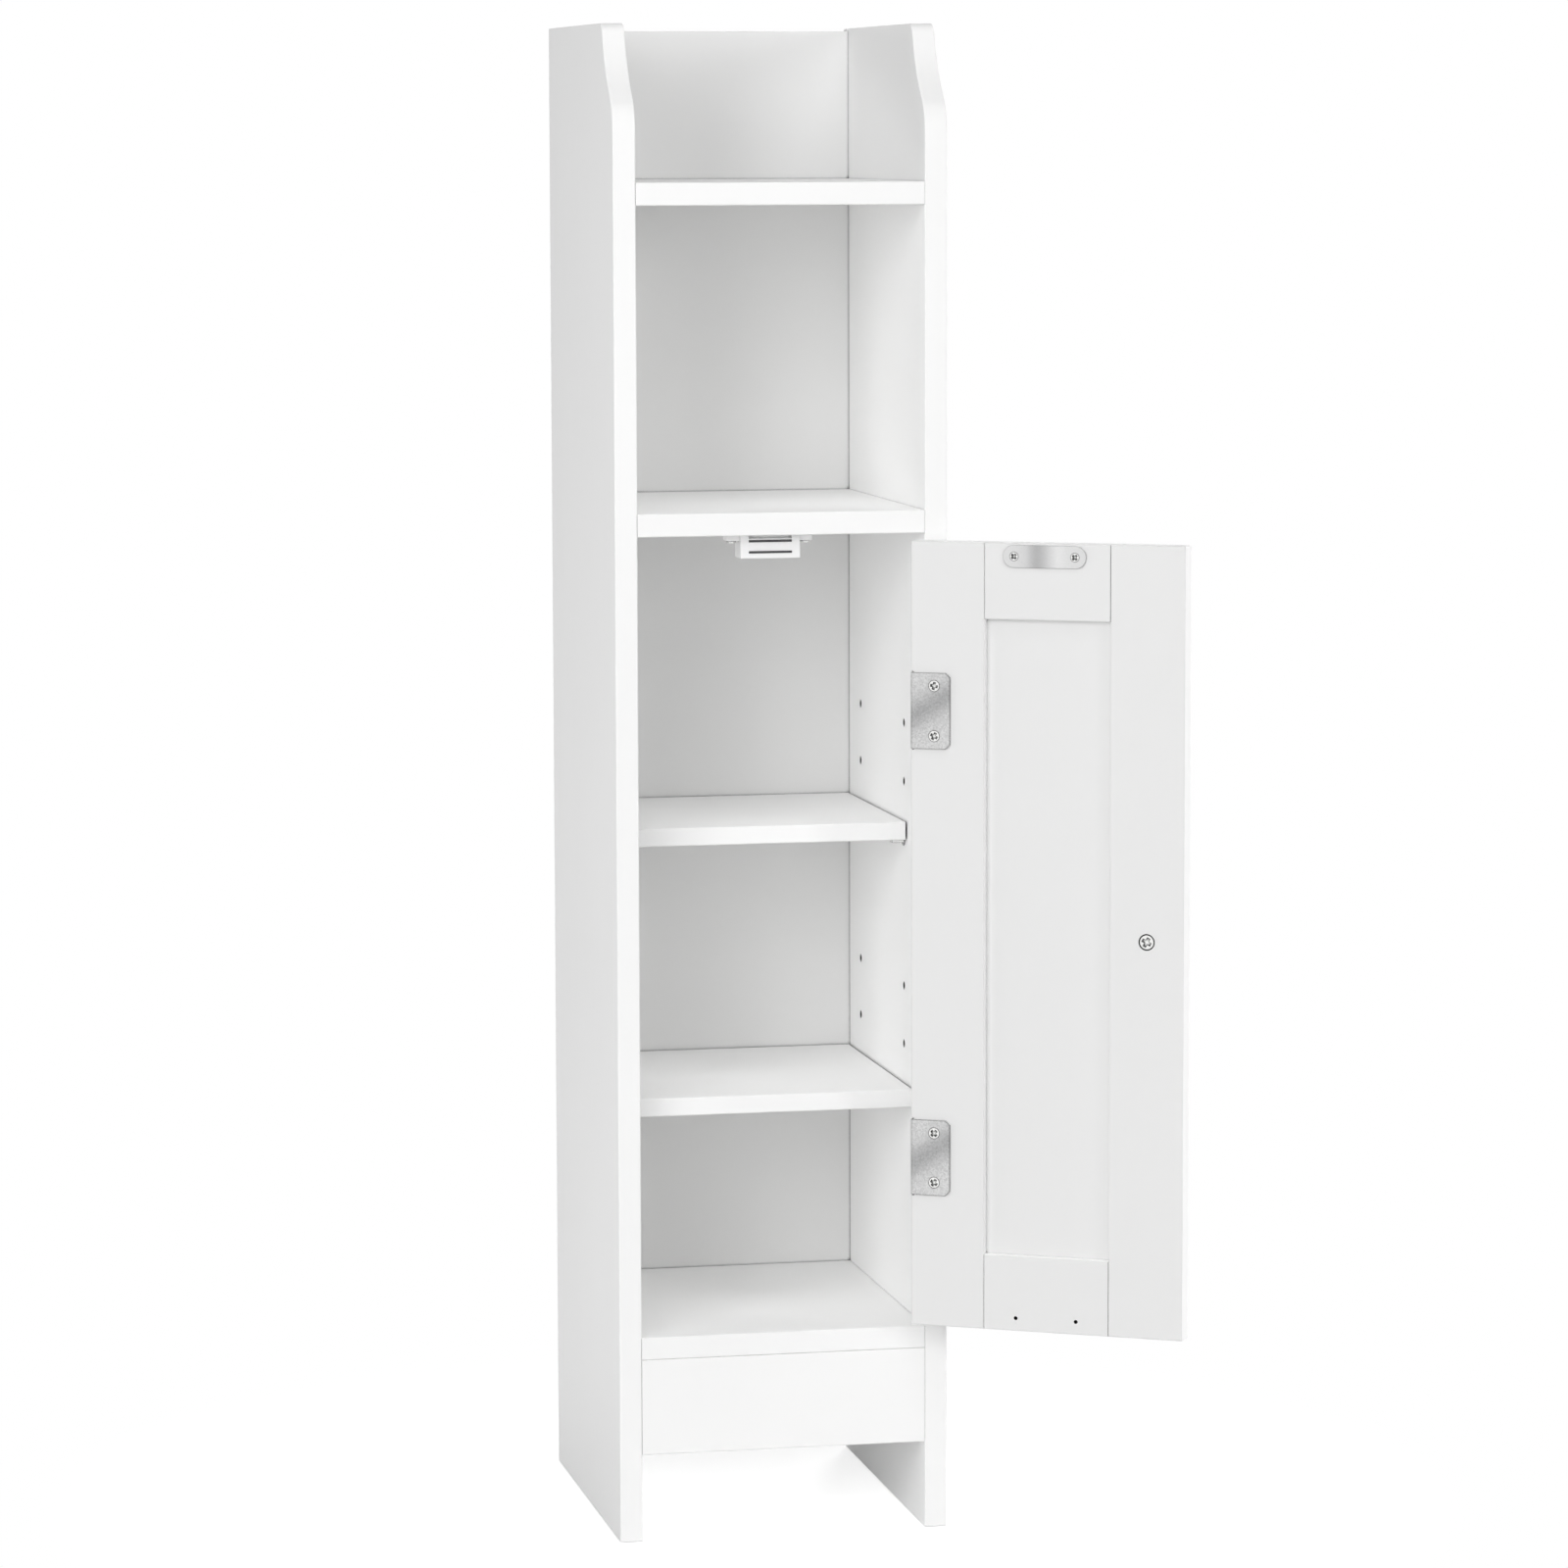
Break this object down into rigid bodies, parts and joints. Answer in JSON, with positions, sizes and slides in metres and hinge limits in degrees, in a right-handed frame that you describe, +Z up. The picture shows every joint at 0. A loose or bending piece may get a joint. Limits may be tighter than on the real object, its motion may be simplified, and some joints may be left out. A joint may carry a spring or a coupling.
{
  "type": "narrow bathroom cabinet",
  "caption": "Tall narrow free-standing bathroom cabinet with an open tray, an open compartment and a cupboard with adjustable shelves behind an inset frame-and-panel door.",
  "frame": {"origin": "on the floor under the middle of the carcass's footprint, without the open door", "axes": "+X to the cabinet's right as seen from the front, +Y to the wall behind it, +Z up"},
  "size_m": [0.3604, 0.3651, 1],
  "materials": {
    "white_board": "white satin lacquer",
    "zinc_plated_steel": "zinc plated, dull",
    "bright_screw_steel": "nickel plated",
    "die_cast_zinc": "as cast",
    "beech_dowel": "plain",
    "white_plastic": "moulded",
    "ferrite_magnet": "sintered, dark",
    "satin_chrome": "satin"
  },
  "bodies": {
    "carcass": {"left_side_panel": "white_board", "right_side_panel": "white_board", "bottom_shelf": "white_board", "middle_shelf": "white_board", "top_shelf": "white_board", "plinth_board": "white_board", "back_panel": "white_board", "upper_hinge_frame_leaf": "zinc_plated_steel", "lower_hinge_frame_leaf": "zinc_plated_steel", "upper_hinge_pin": "zinc_plated_steel", "lower_hinge_pin": "zinc_plated_steel", "catch_pole_plates": "zinc_plated_steel", "back_panel_screws": "bright_screw_steel", "catch_screws": "bright_screw_steel", "hinge_frame_screws": "bright_screw_steel", "lower_shelf_pins": "bright_screw_steel", "upper_shelf_pins": "bright_screw_steel", "cam_bolts": "bright_screw_steel", "cam_locks": "die_cast_zinc", "dowels": "beech_dowel", "catch_housing": "white_plastic", "catch_magnet": "ferrite_magnet"},
    "door": {"door_hinge_stile": "white_board", "door_free_stile": "white_board", "door_top_rail": "white_board", "door_bottom_rail": "white_board", "door_panel": "white_board", "strike_plate": "zinc_plated_steel", "strike_plate_screws": "bright_screw_steel", "door_knob": "satin_chrome", "knob_screw": "bright_screw_steel", "upper_hinge_door_leaf": "zinc_plated_steel", "lower_hinge_door_leaf": "zinc_plated_steel", "hinge_door_screws": "bright_screw_steel"},
    "upper_shelf": {"upper_adjustable_shelf": "white_board"},
    "lower_shelf": {"lower_adjustable_shelf": "white_board"}
  },
  "joints": [
    {"name": "door_hinge", "type": "hinge", "parent": "carcass", "child": "door", "pos_m": [0.09205, -0.1305, 0.4], "axis": [0, 0, 1], "range_deg": [-150, 30]},
    {"name": "upper_shelf_lift", "type": "slide", "parent": "carcass", "child": "upper_shelf", "axis": [0, 0, 1], "range_m": [0, 0.079]},
    {"name": "lower_shelf_lift", "type": "slide", "parent": "carcass", "child": "lower_shelf", "axis": [0, 0, 1], "range_m": [0, 0.079]}
  ]
}
